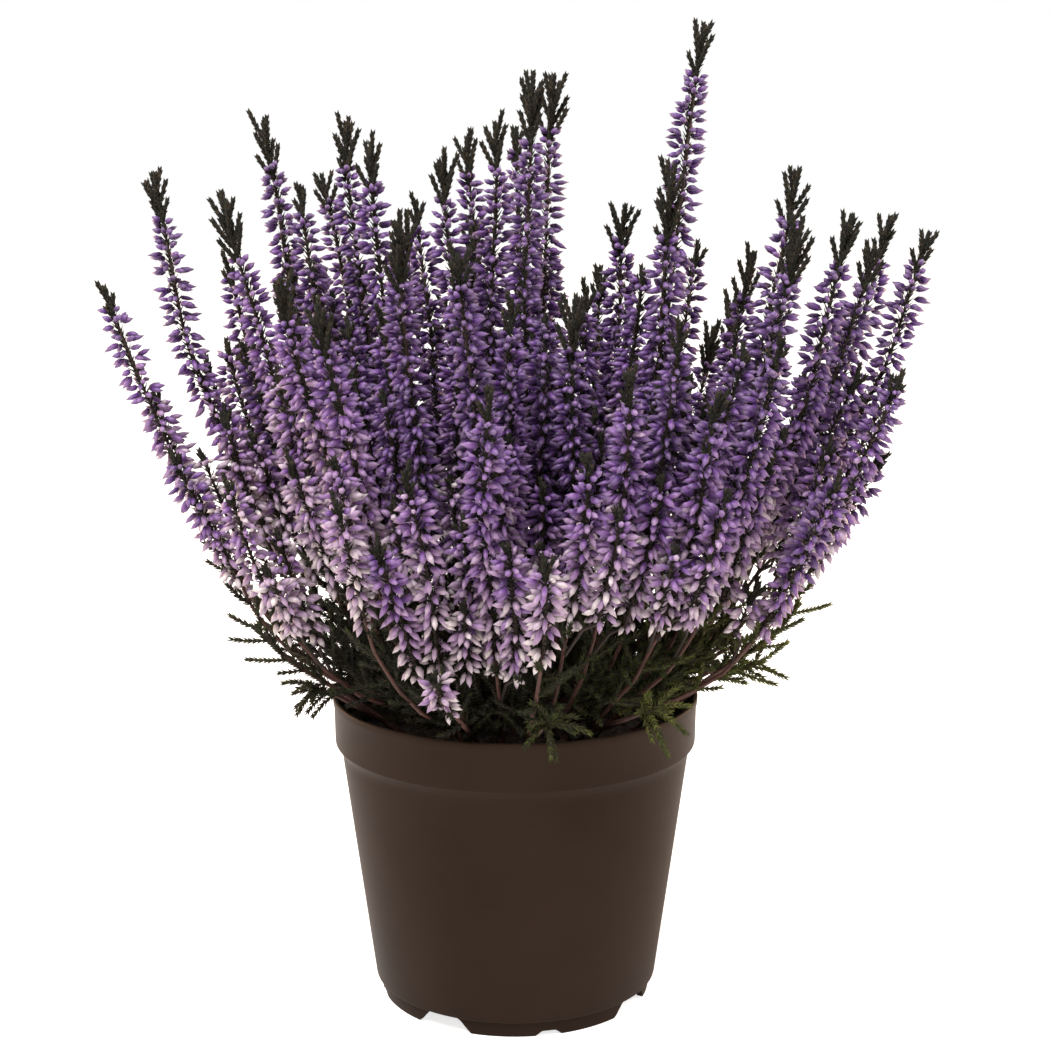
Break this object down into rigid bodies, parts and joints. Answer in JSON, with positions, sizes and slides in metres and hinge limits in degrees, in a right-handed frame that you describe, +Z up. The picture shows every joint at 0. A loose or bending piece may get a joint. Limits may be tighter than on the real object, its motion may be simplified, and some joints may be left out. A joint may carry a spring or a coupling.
{
  "type": "potted heather",
  "caption": "Bushy purple heather with upright flower spikes, growing in a plain brown tapered plastic nursery pot.",
  "frame": {"origin": "on the table under the middle of the plant, on the pot's axis", "axes": "+Z up along the pot's axis, -Y towards the camera of the picture, +X to its right"},
  "size_m": [0.2635, 0.2254, 0.319],
  "materials": {
    "pot_plastic": "satin",
    "potting_soil": "matte",
    "heather_flower": "matte",
    "heather_leaf": "matte"
  },
  "bodies": {
    "root": {"pot": "pot_plastic", "soil": "potting_soil", "heather_stem_01": "heather_flower", "heather_stem_02": "heather_flower", "heather_stem_03": "heather_flower", "heather_stem_04": "heather_flower", "heather_stem_05": "heather_leaf", "heather_stem_06": "heather_flower", "heather_stem_07": "heather_flower", "heather_stem_08": "heather_flower", "heather_stem_09": "heather_flower", "heather_stem_10": "heather_flower", "heather_stem_11": "heather_flower", "heather_stem_12": "heather_flower", "heather_stem_13": "heather_flower", "heather_stem_14": "heather_flower", "heather_stem_15": "heather_flower", "heather_stem_16": "heather_flower", "heather_stem_17": "heather_flower", "heather_stem_18": "heather_flower", "heather_stem_19": "heather_flower", "heather_stem_20": "heather_flower", "heather_stem_21": "heather_flower", "heather_stem_22": "heather_flower", "heather_stem_23": "heather_flower", "heather_stem_24": "heather_flower", "heather_stem_25": "heather_flower", "heather_stem_26": "heather_flower", "heather_stem_27": "heather_flower", "heather_stem_28": "heather_flower", "heather_stem_29": "heather_flower", "heather_stem_30": "heather_flower", "heather_stem_31": "heather_flower", "heather_stem_32": "heather_flower", "heather_stem_33": "heather_flower", "heather_stem_34": "heather_flower", "heather_stem_35": "heather_flower", "heather_stem_36": "heather_flower", "heather_stem_37": "heather_flower", "heather_stem_38": "heather_flower", "heather_stem_39": "heather_flower", "heather_stem_40": "heather_flower", "heather_stem_41": "heather_flower", "heather_stem_42": "heather_flower"}
  },
  "joints": []
}
